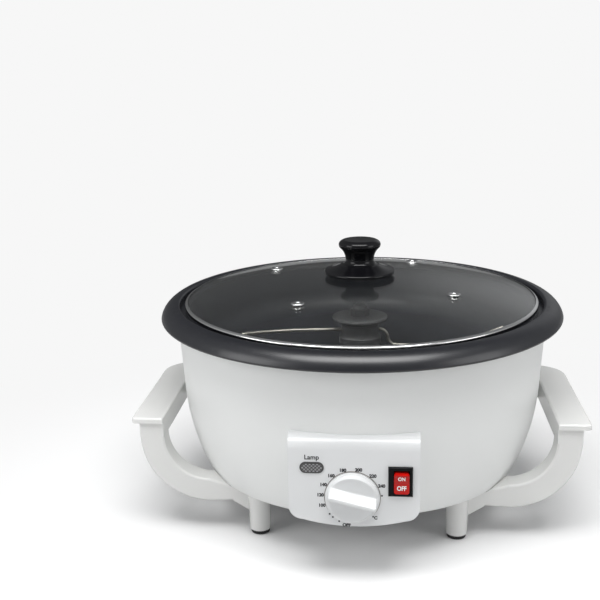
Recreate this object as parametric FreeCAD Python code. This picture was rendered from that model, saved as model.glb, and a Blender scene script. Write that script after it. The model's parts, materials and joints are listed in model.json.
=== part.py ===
import FreeCAD, Part
import math
import os

# Home coffee bean roaster: a non-stick pan with a drooping rim stands in a moulded
# shell, a glass lid drops into the pan, and a gear motor under the pan turns a wire
# stirrer. Lengths are millimetres. The model is built round the pan's axis, with the
# control panel towards -Y, and is moved at the end so that the origin lies under the
# middle of its box, on the floor.

V = FreeCAD.Vector
UP = V(0, 0, 1)

# ---- driving dimensions -------------------------------------------------------------
# heights above the floor
pad_height = 3.5
shell_bottom_z = 38.6
shell_height = 128.4
shell_top_z = shell_bottom_z + shell_height
belly_z = shell_top_z - 59.0
rim_top_z = shell_top_z + 11.0
rim_widest_z = shell_top_z + 0.5
rim_lip_z = shell_top_z - 1.5
lid_seat_z = shell_top_z + 4.5
pan_depth = 41.5
pan_floor_z = lid_seat_z - pan_depth

# lid, pan and shell all follow the radius of the lid's band
lid_r = 148.5
lid_gap = 4.0
lid_pocket_r = lid_r + lid_gap
pan_mouth_r = lid_pocket_r - 9.5
pan_floor_r = pan_mouth_r - 6.0
rim_crest_r = lid_pocket_r + 1.5
rim_r = rim_crest_r + 14.5
rim_lip_t = 3.0
rim_under_z = rim_top_z - 6.5
pan_wall = 2.5
pan_floor_t = 3.0
pan_corner_r = 20.0
pan_boss_r = 18.0
pan_boss_h = 4.0

shell_draft_deg = 3.4
shell_top_r = lid_pocket_r + 2.5
shell_belly_r = shell_top_r - (shell_top_z - belly_z) * math.tan(math.radians(shell_draft_deg))
shell_arc_r = 187.6
shell_corner_r = 4.0
shell_wall = 2.5
base_ledge = 7.0
base_plate_t = 2.0

# lid
lid_rise = 18.6
glass_t = 4.0
band_t = 0.8
band_height = 6.5
band_bead = 1.4
eyelet_circle_r = lid_r * 0.6
eyelet_start_deg = 31.0
eyelet_r = 5.4
eyelet_bore_r = 2.0
eyelet_count = 4
knob_skirt_r = 30.0
knob_neck_r = 11.9
knob_top_r = 17.7
knob_lift = 2.0
knob_height = 28.1
knob_screw_r = 2.5

# stirrer
hub_r = 18.0
hub_flange_r = 23.5
hub_height = 24.0
hub_flange_t = 3.0
wire_r = 1.6
arm_reach = pan_floor_r - 19.0
arm_height = 12.0
long_arm_deg = 186.0
short_arm_deg = 0.0
shaft_r = 4.0
bush_wall = 3.0
running_gap = 0.06

# gear train: output wheel, compound idler, motor pinion
module_out = 0.8
module_in = 0.6
output_tooth_count = 48
small_tooth_count = 12
large_tooth_count = 40
pinion_tooth_count = 10
gear_t = 5.0
gear_backlash = 0.16
gearbox_wall = 1.8
gearbox_top_z = pan_floor_z - 31.5
gearbox_height = 19.0
motor_height = 27.0
rotor_r = 12.0
rotor_gap = 0.8
motor_shaft_r = 1.5

# heating
element_ring_r = 95.0
element_tube_r = 4.0
element_gap_deg = 30.0
element_bend_r = 9.0
cold_pin_r = 1.6
cold_pin_l = 10.0
reflector_r = 124.0
reflector_t = 0.8
reflector_z = pan_floor_z - 20.0
fuse_r = 2.0
fuse_l = 12.0
bulb_r = 3.0
bulb_l = 34.0
capillary_r = 0.9
stud_circle_r = 62.0
stud_r = 2.0
stud_count = 3
bracket_t = 1.5

# control panel
panel_w = 95.0
panel_h = 68.7
panel_proud = 7.5
panel_bottom_z = shell_bottom_z + 6.4
panel_top_z = panel_bottom_z + panel_h
panel_face_y = -shell_belly_r - panel_proud
panel_wall = 2.5
panel_roll_r = 9.0
panel_corner_r = 10.0
panel_sag = 5.0
dial_x = -1.0
dial_z = panel_bottom_z + 23.0
dial_r = 19.8
dial_skirt_t = 2.0
dial_body_h = 9.5
dial_grip_w = 8.0
dial_gap = 0.6
dial_rest_deg = -14.0
thermo_shaft_r = 3.0
thermo_body_r = 11.5
thermo_body_l = 20.0
switch_x = 33.6
switch_z = panel_top_z - 32.3
switch_w = 17.6
switch_h = 22.6
switch_bezel_t = 2.2
rocker_w = 11.0
rocker_h = 15.6
rocker_gap = 0.35
rocker_proud = 6.6
rocker_tilt_deg = 8.0
rocker_shift = 0.8
rocker_corner_r = 1.6
lamp_x = -30.2
lamp_z = panel_top_z - 22.7
lamp_w = 15.6
lamp_h = 6.6

# feet and handles, placed from the shell
foot_inset = 14.7
foot_angle_deg = 46.9
foot_r = 9.2
foot_taper = 0.7
grip_top_z = belly_z - 10.0
grip_outer_x = shell_belly_r + 30.0
grip_length = 146.0
grip_root = 34.0
grip_lip = 6.0
grip_plate_t = 4.5
grip_depth = 17.0
grip_corner_r = 26.0
grip_nose_r = 4.0
handle_screw_l = 13.0
grip_wall = 2.5
leg_depth = 17.0
leg_width = 19.5
leg_outer_x = grip_outer_x - grip_lip
leg_bend_r = 55.5
leg_end_h = 12.5
leg_bottom_z = shell_bottom_z - leg_end_h - 0.3
leg_edge_r = 2.0
arm_length = 21.5
arm_drop = 8.0
seat_gap = 0.2

# rear appliance inlet
inlet_w = 48.0
inlet_h = 27.0
inlet_z = belly_z - 30.0
inlet_depth = 21.0
inlet_proud = 2.5
inlet_ear = 8.0
pin_w = 4.0
pin_t = 2.0

block_w = 44.0
block_d = 16.0
block_h = 14.0

screw_r = 1.6
screw_head_r = 3.2
screw_head_h = 1.8


# ---- small tools --------------------------------------------------------------------
def cyl(r, z0, z1, x=0.0, y=0.0):
    return Part.makeCylinder(r, z1 - z0, V(x, y, z0), UP)


def drill(r, x, y):
    """Upright cutter that passes through everything."""
    return cyl(r, 0, 2 * rim_top_z, x, y)


def tube(r_out, r_in, z0, z1, x=0.0, y=0.0):
    return cyl(r_out, z0, z1, x, y).cut(cyl(r_in, z0 - 1.0, z1 + 1.0, x, y))


def box(x0, x1, y0, y1, z0, z1):
    return Part.makeBox(x1 - x0, y1 - y0, z1 - z0, V(x0, y0, z0))


def pin_y(r, y0, y1, x, z):
    """Cylinder along Y between y0 and y1."""
    return Part.makeCylinder(r, y1 - y0, V(x, y0, z), V(0, 1, 0))


def segs(path, to_vector):
    """Edges through a path of points. A tuple of two points is an arc: middle, end."""
    edges = []
    here = path[0]
    for step in path[1:]:
        if isinstance(step[0], tuple):
            mid, end = step
            edges.append(Part.Arc(to_vector(here), to_vector(mid), to_vector(end)).toShape())
            here = end
        else:
            edges.append(Part.LineSegment(to_vector(here), to_vector(step)).toShape())
            here = step
    return edges


def revolve(path):
    """Solid of revolution about Z from a closed path of (radius, height) points."""
    edges = segs(path + [path[0]], lambda p: V(p[0], 0, p[1]))
    return Part.Face(Part.Wire(edges)).revolve(V(0, 0, 0), UP, 360)


def extrude_xz(path, y0, y1):
    """Closed path of (x, z) points extruded along Y."""
    edges = segs(path + [path[0]], lambda p: V(p[0], y0, p[1]))
    return Part.Face(Part.Wire(edges)).extrude(V(0, y1 - y0, 0))


def extrude_xy(path, z0, z1):
    """Closed path of (x, y) points extruded along Z."""
    edges = segs(path + [path[0]], lambda p: V(p[0], p[1], z0))
    return Part.Face(Part.Wire(edges)).extrude(V(0, 0, z1 - z0))


def fuse(solids):
    whole = solids[0]
    for solid in solids[1:]:
        whole = whole.fuse(solid)
    return whole.removeSplitter()


def mirrored_x(solid):
    return solid.mirror(V(0, 0, 0), V(1, 0, 0))


def polar(r, deg):
    return r * math.cos(math.radians(deg)), r * math.sin(math.radians(deg))


def on_arc(cx, cz, r, deg):
    x, z = polar(r, deg)
    return cx + x, cz + z


def screw(x, y, z_head, length):
    """Pan-head screw that points up, its head below z_head."""
    head = Part.makeCylinder(screw_head_r, screw_head_h, V(x, y, z_head - screw_head_h), UP)
    head = head.makeFillet(screw_head_h * 0.45, [head.Edges[2]])
    return head.fuse(cyl(screw_r, z_head - 0.01, z_head + length, x, y)).removeSplitter()


# ---- shell and base -----------------------------------------------------------------
def arc_end_deg():
    """Slope at which the belly arc meets the rounded corner of the shell's flat bottom."""
    start = math.sin(math.radians(shell_draft_deg))
    drop = belly_z - shell_bottom_z - shell_corner_r
    return math.degrees(math.asin((drop + shell_arc_r * start) / (shell_arc_r - shell_corner_r)))


def shell_arc_point(deg, inset):
    """Point of the shell's belly arc where its slope from the vertical is deg."""
    start = math.radians(shell_draft_deg)
    slope = math.radians(deg)
    r = shell_belly_r - shell_arc_r * (math.cos(start) - math.cos(slope))
    z = belly_z - shell_arc_r * (math.sin(slope) - math.sin(start))
    return r - inset * math.cos(slope), z + inset * math.sin(slope)


def shell_flat_r():
    """Radius at which the shell's flat bottom ends and its corner starts."""
    end = shell_arc_point(arc_end_deg(), shell_corner_r)
    return end[0]


def shell_radius(z, inset=0.0):
    """Outer radius of the shell at a height."""
    start = math.radians(shell_draft_deg)
    if z >= belly_z:
        return shell_belly_r + (z - belly_z) * math.tan(start) - inset / math.cos(start)
    sine = math.sin(start) + (belly_z - z) / shell_arc_r
    slope = math.asin(min(sine, math.sin(math.radians(arc_end_deg()))))
    return shell_belly_r - shell_arc_r * (math.cos(start) - math.cos(slope)) - inset / math.cos(slope)


def shell_side(inset):
    """Path down the shell's side: draft line, belly arc and corner, inset from the outside."""
    end_deg = arc_end_deg()
    start = shell_arc_point(shell_draft_deg, inset)
    end = shell_arc_point(end_deg, inset)
    middle = shell_arc_point((shell_draft_deg + end_deg) / 2, inset)
    corner = shell_corner_r - inset
    centre_z = shell_bottom_z + shell_corner_r
    turn = math.radians((90 + end_deg) / 2)
    mid_turn = (shell_flat_r() + corner * math.cos(turn), centre_z - corner * math.sin(turn))
    top = (shell_radius(shell_top_z, inset), shell_top_z)
    return [top, start, (middle, end), (mid_turn, (shell_flat_r(), centre_z - corner))]


def shell_body(grow=0.0):
    """The shell's outer form as one solid, grown by a clearance."""
    return revolve(shell_side(-grow) + [(0, shell_bottom_z - grow), (0, shell_top_z)])


def foot_x():
    return polar(shell_flat_r() - foot_inset, foot_angle_deg)[0]


def foot_y():
    return polar(shell_flat_r() - foot_inset, foot_angle_deg)[1]


def base_opening_r():
    """The base opening leaves room for the heads of the foot screws."""
    return shell_flat_r() - foot_inset - screw_head_r - shell_wall - 6.5


def outer_shell():
    inner_floor = shell_bottom_z + shell_wall
    cavity = revolve(shell_side(shell_wall) + [(0, inner_floor), (0, shell_top_z)])
    shell = shell_body().cut(cavity).cut(cyl(base_opening_r(), 0, inner_floor + 1))
    ledge_z = shell_bottom_z + base_plate_t
    ledge = revolve([
        (base_opening_r() + shell_wall, inner_floor - 0.5), (base_opening_r(), ledge_z),
        (base_opening_r() - base_ledge, ledge_z), (base_opening_r() - base_ledge, ledge_z + shell_wall),
        (base_opening_r() + shell_wall, ledge_z + shell_wall)])
    shell = shell.fuse(ledge)
    for k in range(4):
        x, y = polar(base_opening_r() - base_ledge / 2, 45 + 90 * k)
        boss = tube(screw_head_r, screw_r, ledge_z, ledge_z + 12, x, y)
        shell = shell.cut(cyl(screw_r, ledge_z - 1, ledge_z + 12, x, y)).fuse(boss)
    shell = shell.cut(panel_recess()).cut(inlet_opening())
    for solid in foot_screw_holes():
        shell = shell.cut(solid)
    return shell.removeSplitter()


def panel_recess():
    """Opening behind the control panel for the thermostat, the switch and the lamp."""
    return box(-panel_w / 2 + 4, panel_w / 2 - 4, -shell_belly_r - 10, -shell_belly_r / 2,
               panel_bottom_z + 11, panel_top_z - 13)


def base_plate():
    r = base_opening_r() - seat_gap
    plate = cyl(r, shell_bottom_z, shell_bottom_z + base_plate_t)
    for ring in range(3):
        count = 10 + 6 * ring
        for k in range(count):
            x, y = polar(20 + 14 * ring, 360 / count * k)
            slot = box(-1.2, 1.2, -4, 4, shell_bottom_z - 1, shell_bottom_z + base_plate_t + 1)
            slot.rotate(V(0, 0, 0), UP, 360 / count * k + 90)
            slot.translate(V(x, y, 0))
            plate = plate.cut(slot)
    for k in range(4):
        x, y = polar(base_opening_r() - base_ledge / 2, 45 + 90 * k)
        plate = plate.cut(drill(screw_r + seat_gap, x, y))
    for x, y in stud_places():
        plate = plate.cut(drill(stud_r + seat_gap, x, y))
    return plate


def base_screws():
    places = [polar(base_opening_r() - base_ledge / 2, 45 + 90 * k) for k in range(4)]
    return Part.makeCompound([screw(x, y, shell_bottom_z, 8.0) for x, y in places])


# ---- pan ----------------------------------------------------------------------------
def roasting_pan():
    ledge_z = lid_seat_z
    floor_in = pan_floor_z
    floor_out = pan_floor_z - pan_floor_t
    slope = (pan_mouth_r - pan_floor_r) / (ledge_z - floor_in)
    corner_top = floor_in + pan_corner_r
    corner_r = pan_floor_r + slope * pan_corner_r
    bend = pan_corner_r * (1 - math.cos(math.radians(45)))
    out_r = pan_corner_r + pan_floor_t
    out_bend = out_r * (1 - math.cos(math.radians(45)))
    seat_r = shell_radius(shell_top_z, shell_wall)
    spigot_r = shell_radius(shell_top_z - 6, shell_wall) - seat_gap
    path = [
        (0, floor_in + pan_boss_h), (pan_boss_r - 3, floor_in + pan_boss_h),
        (pan_boss_r, floor_in), (corner_r - pan_corner_r, floor_in),
        ((corner_r - bend, floor_in + bend), (corner_r, corner_top)),
        (pan_mouth_r, ledge_z), (lid_pocket_r, ledge_z), (lid_pocket_r, rim_top_z - 2.2),
        ((lid_pocket_r + 0.7, rim_top_z - 0.7), (rim_crest_r + 1.0, rim_top_z)),
        ((rim_r - 3.9, rim_top_z - 3.9), (rim_r, rim_widest_z)),
        ((rim_r - 0.4, rim_lip_z + 0.6), (rim_r - rim_lip_t / 2, rim_lip_z)),
        ((rim_r - rim_lip_t + 0.4, rim_lip_z + 0.8), (rim_r - rim_lip_t, rim_lip_z + 2.0)),
        (rim_r - rim_lip_t - 3.0, rim_under_z), (seat_r + shell_wall + 1.5, rim_under_z),
        (seat_r + shell_wall + 1.5, shell_top_z), (seat_r - seat_gap, shell_top_z),
        (spigot_r, shell_top_z - 6), (spigot_r - 3, shell_top_z - 6),
        (pan_mouth_r + pan_wall, ledge_z - 6.5), (corner_r + pan_wall, corner_top),
        ((corner_r + pan_wall - out_bend, corner_top - out_r + out_bend),
         (corner_r + pan_wall - out_r, floor_out)),
        (0, floor_out)]
    pan = revolve(path)
    return pan.cut(cyl(shaft_r + bush_wall, floor_out - 1, pan_floor_z + pan_boss_h + 1))


def stud_places():
    return [polar(stud_circle_r, 90 + 360 / stud_count * k) for k in range(stud_count)]


def pan_studs():
    """Long studs from the pan's floor through the bracket to the base plate."""
    top = pan_floor_z - pan_floor_t
    studs = [cyl(stud_r, shell_bottom_z - 4.0, top, x, y) for x, y in stud_places()]
    return Part.makeCompound(studs)


def hex_nut(x, y, z0, height, across, bore):
    corner = across / math.sqrt(3)
    points = [polar(corner, 60 * k) for k in range(6)]
    nut = extrude_xy([(x + px, y + py) for px, py in points], z0, z0 + height)
    return nut.cut(cyl(bore, z0 - 1, z0 + height + 1, x, y))


def stud_nuts():
    nuts = []
    for x, y in stud_places():
        nuts.append(hex_nut(x, y, shell_bottom_z - 3.2, 3.2, 7.0, stud_r))
        nuts.append(hex_nut(x, y, bracket_z() - 3.2, 3.2, 7.0, stud_r))
    return Part.makeCompound(nuts)


def stud_sleeves():
    """Spacers that hold the reflector and the motor bracket off the pan."""
    sleeves = []
    for x, y in stud_places():
        upper = tube(stud_r + 2, stud_r + 0.1, reflector_z + reflector_t, pan_floor_z - pan_floor_t, x, y)
        lower = tube(stud_r + 2, stud_r + 0.1, bracket_z() + bracket_t, reflector_z, x, y)
        sleeves.append(upper)
        sleeves.append(lower)
    return Part.makeCompound(sleeves)


def bracket_z():
    return gearbox_top_z


# ---- lid ----------------------------------------------------------------------------
def dome_sphere_r():
    return (lid_r ** 2 + lid_rise ** 2) / (2 * lid_rise)


def band_plane_z():
    """Height of the lid band's top edge."""
    return lid_seat_z + band_height


def dome_z(r, drop=0.0):
    """Height of the glass's upper surface, less a drop, at a radius."""
    sphere = dome_sphere_r()
    centre = band_plane_z() + lid_rise - sphere
    return centre + math.sqrt((sphere - drop) ** 2 - r ** 2)


def eyelet_places():
    return [polar(eyelet_circle_r, -90 - eyelet_start_deg + 360 / eyelet_count * k)
            for k in range(eyelet_count)]


def lid_glass():
    edge_r = lid_r - band_t - seat_gap
    half = edge_r / 2
    path = [
        (0, dome_z(0)), ((half, dome_z(half)), (edge_r, dome_z(edge_r))),
        (edge_r, dome_z(edge_r, glass_t)),
        ((half, dome_z(half, glass_t)), (0, dome_z(0, glass_t)))]
    glass = revolve(path)
    glass = glass.cut(drill(knob_screw_r + 1.0, 0, 0))
    for x, y in eyelet_places():
        glass = glass.cut(drill(eyelet_bore_r + 0.8, x, y))
    return glass


def lid_band():
    """Stainless channel rolled round the edge of the glass."""
    top = band_plane_z() + band_t
    glass_r = lid_r - band_t - seat_gap
    low = lid_seat_z
    under = dome_z(glass_r, glass_t) - seat_gap
    inner = glass_r - band_bead
    return revolve([
        (lid_r, low), (lid_r, top - 1.0), ((lid_r - 0.35, top - 0.3), (lid_r - 1.1, top)),
        (inner, dome_z(inner) + 0.5), (inner, dome_z(inner) + 0.15),
        (lid_r - band_t, dome_z(lid_r - band_t) + 0.15), (lid_r - band_t, under),
        (inner, under - 0.3), (inner, under - band_t - 0.3), (lid_r - band_t - 0.3, under - band_t),
        (lid_r - band_t - 0.3, low)])


def vent_eyelets():
    """Stainless grommets that let the smoke out of the lid."""
    parts = []
    for x, y in eyelet_places():
        r = math.hypot(x, y)
        top = dome_z(r - eyelet_r)
        low = dome_z(r + eyelet_r, glass_t)
        barrel = eyelet_bore_r + 0.6
        body = revolve([
            (eyelet_bore_r, low - 1.2), (eyelet_r, low - 1.2), (eyelet_r, low - 0.2),
            (barrel, low - 0.2), (barrel, top + 0.1), (eyelet_r, top + 0.1),
            ((eyelet_r - 0.4, top + 0.7), (eyelet_r - 1.4, top + 0.9)), (barrel + 0.2, top + 0.9),
            ((eyelet_bore_r + 0.3, top + 0.7), (eyelet_bore_r, top + 0.2))])
        body.translate(V(x, y, 0))
        parts.append(body)
    return Part.makeCompound(parts)


def knob_base_z():
    return dome_z(0) + knob_lift


def lid_knob():
    z = knob_base_z()
    h = knob_height
    r = knob_top_r
    rise = h * 0.33
    knob = revolve([
        (0, z + 3), (knob_skirt_r - 4, z + 1.2), (knob_skirt_r - 2.5, z - 0.2),
        (knob_skirt_r - 0.8, z - 0.4), ((knob_skirt_r, z + 0.9), (knob_skirt_r - 0.6, z + 2.2)),
        ((knob_skirt_r - 8, z + 4.2), (knob_neck_r + 4.5, z + 7.0)),
        ((knob_neck_r + 0.8, z + 8.8), (knob_neck_r, z + rise + 2.5)),
        ((knob_neck_r + 1.6, z + h * 0.62), (r - 0.9, z + h - 6.5)),
        ((r, z + h - 4.0), (r - 1.6, z + h - 1.2)),
        ((r - 3.5, z + h - 0.2), (r - 6.0, z + h)), (0, z + h - 0.6)])
    return knob.cut(cyl(knob_screw_r, z - 5, z + 12))


def knob_washer():
    top = knob_base_z() + 2.4
    low = dome_z(0) + 0.02
    bore = knob_screw_r + 0.2
    return revolve([
        (bore, low), (9.0, low), (9.0, low + 1.2), (6.5, low + 1.6), (6.5, top), (bore, top)])


def knob_screw():
    under = dome_z(0, glass_t)
    head_z = under - 1.5
    washer = tube(9.0, knob_screw_r, under - 1.5, under - 0.3)
    head = Part.makeCylinder(5.0, 2.4, V(0, 0, head_z - 2.4), UP)
    head = head.makeFillet(1.2, [head.Edges[2]])
    slot = box(-5.5, 5.5, -0.5, 0.5, head_z - 3, head_z - 1.4)
    return fuse([washer, head, cyl(knob_screw_r, head_z - 0.01, knob_base_z() + 11.5)]).cut(slot)


# ---- stirrer ------------------------------------------------------------------------
def hub_base_z():
    return pan_floor_z + pan_boss_h + 1.0


def stirrer_hub():
    z = hub_base_z()
    top = z + hub_height
    hub = revolve([
        (shaft_r, z), (hub_r, z), (hub_r, z + 6), ((hub_r - 1.4, z + 8.2), (hub_r - 2.0, z + 11)),
        (hub_r - 2.0, top - hub_flange_t - 3), (hub_flange_r - 1.0, top - hub_flange_t),
        ((hub_flange_r, top - hub_flange_t / 2), (hub_flange_r - 1.0, top)), (shaft_r, top)])
    for deg in (long_arm_deg, short_arm_deg):
        hub = hub.cut(wire_bore(deg))
    return hub


def wire_z():
    return hub_base_z() + arm_height


def wire_bore(deg):
    """Socket in the hub for an arm, along its direction."""
    x, y = polar(1.0, deg)
    start = V(x * (shaft_r + 2), y * (shaft_r + 2), wire_z())
    return Part.makeCylinder(wire_r, hub_r, start, V(x, y, 0))


def wire_path(points, radius):
    """Round rod along straight runs joined by tangent arcs."""
    vs = [V(*p) for p in points]
    edges = []
    here = vs[0]
    for k in range(1, len(vs) - 1):
        before = (vs[k] - vs[k - 1])
        after = (vs[k + 1] - vs[k])
        turn = before.getAngle(after)
        cut = 0.42 * min(before.Length, after.Length)
        a = vs[k] - V(before).normalize() * cut
        b = vs[k] + V(after).normalize() * cut
        bend = cut / math.tan(turn / 2)
        bisector = (V(after).normalize() - V(before).normalize()).normalize()
        centre = vs[k] + bisector * (bend / math.cos(turn / 2))
        mid = centre - bisector * bend
        edges.append(Part.LineSegment(here, a).toShape())
        edges.append(Part.Arc(a, mid, b).toShape())
        here = b
    edges.append(Part.LineSegment(here, vs[-1]).toShape())
    wire = Part.Wire(edges)
    normal = (vs[1] - vs[0]).normalize()
    circle = Part.Wire(Part.Circle(vs[0], normal, radius).toShape())
    return wire.makePipeShell([circle], True, True)


def stirrer_arm_long():
    """Left arm: leaves the hub level, dips beside the wall and sweeps the floor."""
    z = wire_z()
    low = pan_floor_z + wire_r + 1.0
    a = polar(shaft_r + 2, long_arm_deg)
    b = polar(arm_reach * 0.56, long_arm_deg)
    c = polar(arm_reach * 0.90, -179)
    d = polar(arm_reach * 0.97, -170)
    e = polar(arm_reach * 0.98, -152)
    return wire_path([(a[0], a[1], z), (b[0], b[1], z), (c[0], c[1], z - 6),
                      (d[0], d[1], low + 2), (e[0], e[1], low)], wire_r)


def stirrer_arm_short():
    """Right arm: drops beside the hub, runs along the floor and rises at its end."""
    z = wire_z()
    low = pan_floor_z + wire_r + 1.0
    a = polar(shaft_r + 2, short_arm_deg)
    b = polar(hub_r + 4.3, short_arm_deg)
    c = polar(hub_r + 7.0, -4)
    d = polar(arm_reach * 0.66, -3)
    e = polar(arm_reach * 0.86, 5)
    f = polar(arm_reach * 1.05, 7)
    return wire_path([(a[0], a[1], z), (b[0], b[1], z), (c[0], c[1], low + 0.6),
                      (d[0], d[1], low), (e[0], e[1], low + 5), (f[0], f[1], low + 12)], wire_r)


def cap_nut():
    z = hub_base_z() + hub_height
    nut = hex_nut(0, 0, z, 6.0, 14.0, shaft_r - 0.5)
    dome = cyl(6.2, z + 5.9, z + 10.2)
    dome = dome.makeFillet(3.6, [e for e in dome.Edges if abs(e.CenterOfMass.z - z - 10.2) < 0.01])
    return nut.fuse(dome.cut(cyl(shaft_r - 0.5, z, z + 6.5))).removeSplitter()


def output_gear_z():
    return gearbox_top_z - gearbox_wall - gear_t - 1.0


def drive_shaft():
    low = output_gear_z() - 2.0
    shoulder = hub_base_z() + hub_height
    shaft = cyl(shaft_r, low, shoulder).fuse(cyl(shaft_r - 0.5, shoulder, shoulder + 6.0))
    return shaft.removeSplitter()


def shaft_bush():
    """Bronze bush in the pan's boss, with a flange under the floor."""
    low = pan_floor_z - pan_floor_t
    r = shaft_r + bush_wall
    bush = cyl(r, low, pan_floor_z + pan_boss_h).fuse(cyl(r + 3, low - 2.5, low))
    return bush.cut(cyl(shaft_r + running_gap, low - 9, pan_floor_z + 20)).removeSplitter()


def shaft_seal():
    """Silicone ring that keeps chaff off the bush."""
    low = pan_floor_z + pan_boss_h
    return tube(shaft_r + 4, shaft_r + 0.35, low, low + 0.7)


# ---- gear motor ---------------------------------------------------------------------
def idler_x():
    return module_out * (output_tooth_count + small_tooth_count) / 2


def motor_x():
    return idler_x() - module_in * (large_tooth_count + pinion_tooth_count) / 2


def gearbox_r():
    left = motor_x() + module_out * (output_tooth_count / 2 + 1)
    right = idler_x() - motor_x() + module_in * (large_tooth_count / 2 + 1)
    return max(left, right) + 1.0 + gearbox_wall


def spur_gear(teeth, module, bore, x, z0, z1, phase_deg):
    """Gear with tapering teeth: thick at the root, rounded off towards the tip."""
    pitch_r = module * teeth / 2
    half_pitch = math.pi / teeth / 2
    ease = gear_backlash / 2 / pitch_r
    levels = [(pitch_r - 1.2 * module, 0.42), (pitch_r, 0.0), (pitch_r + 0.92 * module, -0.36)]
    points = []
    for k in range(teeth):
        centre = math.radians(phase_deg) + 2 * math.pi * k / teeth
        flank = [(r, half_pitch * (1 + lean) - ease) for r, lean in levels]
        for r, half in flank:
            points.append((x + r * math.cos(centre - half), r * math.sin(centre - half)))
        for r, half in reversed(flank):
            points.append((x + r * math.cos(centre + half), r * math.sin(centre + half)))
    return extrude_xy(points, z0, z1).cut(cyl(bore, z0 - 1, z1 + 1, x, 0))


def output_gear():
    z = output_gear_z()
    wheel = spur_gear(output_tooth_count, module_out, shaft_r, 0, z, z + gear_t, 0)
    return wheel


def idler_z():
    return output_gear_z() - 4.0 - 1.2


def idler_gear():
    """Compound idler: the large wheel below, the small pinion above it."""
    z = idler_z()
    top = output_gear_z() + gear_t
    large = spur_gear(large_tooth_count, module_in, motor_shaft_r + running_gap, idler_x(), z, z + 3.5, 180)
    small = spur_gear(small_tooth_count, module_out, motor_shaft_r + running_gap, idler_x(), z + 3.4, top,
                      180 + 180 / small_tooth_count)
    return large.fuse(small)


def gearbox_floor_z():
    return gearbox_top_z - gearbox_height


def idler_pin():
    return cyl(motor_shaft_r, gearbox_floor_z() + gearbox_wall, gearbox_top_z - gearbox_wall, idler_x())


def gearbox_cup():
    """Pressed cup that holds the gears, closed by the bracket above it."""
    r = gearbox_r()
    x = motor_x()
    low = gearbox_floor_z()
    cup = cyl(r, low, gearbox_top_z - gearbox_wall, x)
    cup = cup.cut(cyl(r - gearbox_wall, low + gearbox_wall, gearbox_top_z, x))
    return cup.cut(cyl(motor_shaft_r + 1.0, low - 1, low + gearbox_wall + 1, x))


def gearbox_cover():
    r = gearbox_r()
    cover = cyl(r, gearbox_top_z - gearbox_wall, gearbox_top_z, motor_x())
    return cover.cut(cyl(shaft_r + running_gap, 0, gearbox_top_z + 1))


def motor_case():
    r = gearbox_r()
    x = motor_x()
    top = gearbox_floor_z()
    case = cyl(r - 1.0, top - motor_height, top, x)
    case = case.cut(cyl(r - 1.0 - 1.2, top - motor_height + 1.2, top, x))
    return case.cut(cyl(motor_shaft_r + running_gap, 0, top, x))


def motor_coil():
    r = gearbox_r() - 2.5
    top = gearbox_floor_z()
    return tube(r, rotor_r + rotor_gap, top - motor_height + 2.4, top - 1.5, motor_x())


def rotor():
    """Magnet, shaft and the pinion cut on the shaft's end."""
    x = motor_x()
    top = gearbox_floor_z()
    pinion_z = idler_z()
    shaft = cyl(motor_shaft_r, top - motor_height - 0.5, pinion_z + 3.2, x)
    magnet = cyl(rotor_r, top - motor_height + 3.5, top - 3.0, x)
    pinion = spur_gear(pinion_tooth_count, module_in, 0.5, x, pinion_z + 0.2, pinion_z + 3.4,
                       180 / pinion_tooth_count)
    return fuse([shaft, magnet, pinion])


def motor_bracket():
    """Three-armed bridge under the pan that carries the gear motor."""
    z = bracket_z()
    plate = cyl(gearbox_r() + 2, z, z + bracket_t, motor_x())
    for k, (x, y) in enumerate(stud_places()):
        arm = box(0, stud_circle_r, -8, 8, z, z + bracket_t)
        arm.rotate(V(0, 0, 0), UP, 90 + 360 / stud_count * k)
        plate = plate.fuse(arm).fuse(cyl(8, z, z + bracket_t, x, y))
    plate = plate.cut(cyl(shaft_r + 4, z - 1, z + 9))
    for x, y in stud_places():
        plate = plate.cut(cyl(stud_r + 0.1, z - 1, z + 9, x, y))
    return plate.removeSplitter()


# ---- heating ------------------------------------------------------------------------
def element_z():
    return pan_floor_z - pan_floor_t - element_tube_r - 0.05


def cold_end(side):
    """Place in plan where an end of the ring turns down, one bend short of the ring's end."""
    end_deg = 90 + side * element_gap_deg / 2
    x, y = polar(element_ring_r, end_deg)
    back_x, back_y = polar(element_bend_r, end_deg - side * 90)
    return x + back_x, y + back_y


def cold_bend(side):
    """Quarter turn from the ring's level end down into a cold end."""
    end_deg = 90 + side * element_gap_deg / 2
    z = element_z()
    x, y = polar(element_ring_r, end_deg)
    down_x, down_y = cold_end(side)
    mid = 1 - math.sqrt(0.5)
    return Part.Arc(V(x, y, z), V(x + (down_x - x) * (1 - mid), y + (down_y - y) * (1 - mid),
                                  z - element_bend_r * mid), V(down_x, down_y, z - element_bend_r))


def heating_element():
    """Sheathed ring with its two cold ends turned down towards the terminal block."""
    half = element_gap_deg / 2
    z = element_z()
    low = reflector_z - 8
    starts = [polar(element_ring_r, deg) for deg in (90 + half, 270, 90 - half)]
    ring = Part.Arc(*[V(x, y, z) for x, y in starts])
    left = cold_end(1)
    right = cold_end(-1)
    path = Part.Wire([
        Part.LineSegment(V(left[0], left[1], low), V(left[0], left[1], z - element_bend_r)).toShape(),
        cold_bend(1).toShape(), ring.toShape(), cold_bend(-1).toShape(),
        Part.LineSegment(V(right[0], right[1], z - element_bend_r), V(right[0], right[1], low)).toShape()])
    circle = Part.Wire(Part.Circle(V(left[0], left[1], low), UP, element_tube_r).toShape())
    tube_ring = path.makePipeShell([circle], True, True)
    pins = [cyl(cold_pin_r, low - cold_pin_l, low + 2, x, y) for x, y in (left, right)]
    return fuse([tube_ring] + pins)


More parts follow.
